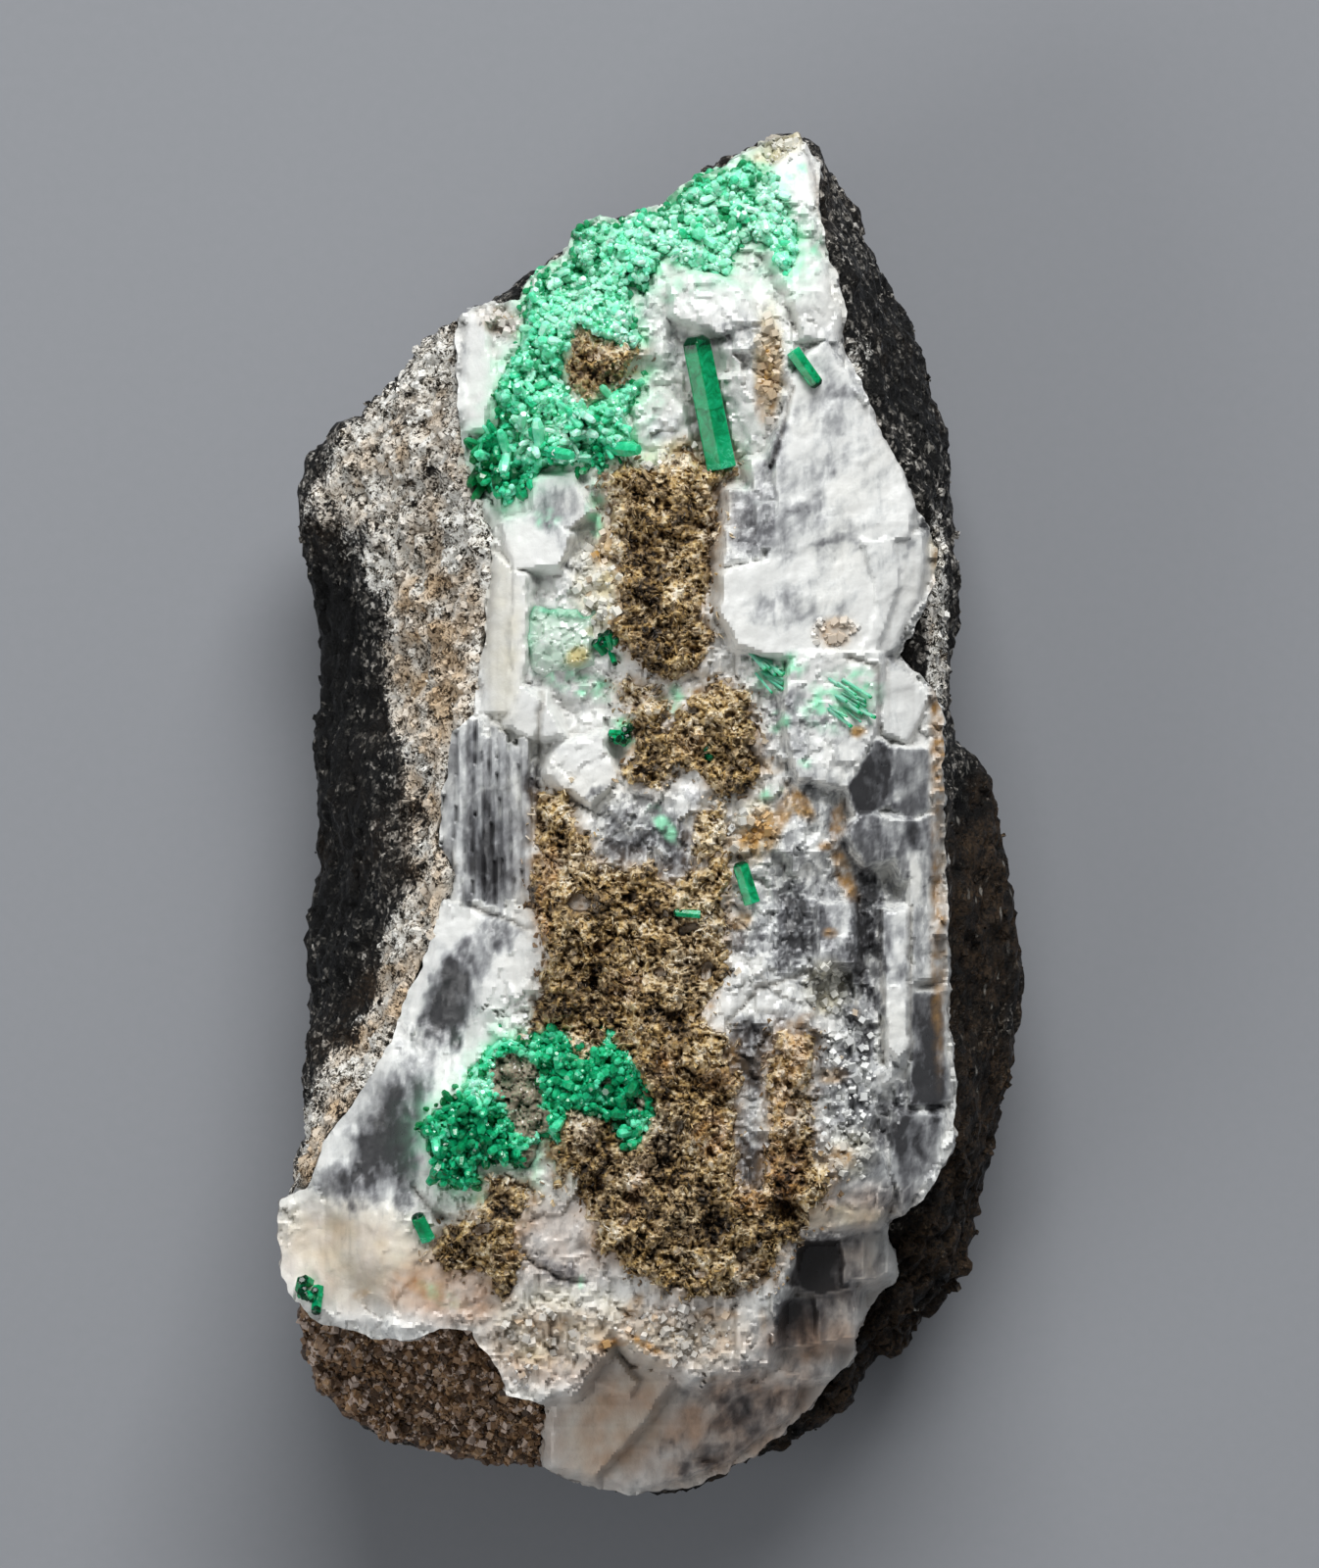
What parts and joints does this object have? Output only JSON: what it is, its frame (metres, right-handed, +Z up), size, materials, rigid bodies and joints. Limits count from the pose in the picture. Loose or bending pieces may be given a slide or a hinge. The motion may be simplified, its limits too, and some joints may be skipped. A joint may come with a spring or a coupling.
{
  "type": "emerald in matrix",
  "caption": "Broken black shale specimen with a white and grey calcite vein across its face, brown weathered crusts, green emerald druses and single emerald prisms.",
  "frame": {"origin": "on the resting face, under the middle of the specimen's box", "axes": "+Y along the specimen to its pointed end, +X across it, +Z up out of the vein"},
  "size_m": [0.0768, 0.1401, 0.0465],
  "materials": {
    "shale": "matt, rough",
    "calcite": "glassy cleavage, partly cloudy",
    "crust": "matt, granular",
    "sand": "matt, sandy",
    "druse": "sparkling fine crystals",
    "emerald": "glassy",
    "beryl": "glassy"
  },
  "bodies": {
    "root": {"shale_matrix": "shale", "calcite_vein": "calcite", "sandy_crust": "sand", "emerald_druse_top": "druse", "emerald_druse_lower": "druse", "pale_beryl_crystal": "beryl", "brown_crust_top": "crust", "brown_crust_upper": "crust", "brown_crust_middle": "crust", "brown_crust_lower": "crust", "brown_crust_left": "crust", "emerald_prism_large": "emerald", "emerald_prism_right": "emerald", "emerald_prism_centre": "emerald", "emerald_prism_left": "emerald", "emerald_prism_thin": "emerald", "emerald_knot_edge": "emerald", "emerald_knot_middle": "emerald", "emerald_knot_centre": "emerald", "emerald_knot_beryl": "emerald", "emerald_fan_middle": "emerald", "emerald_fan_right": "emerald"}
  },
  "joints": []
}
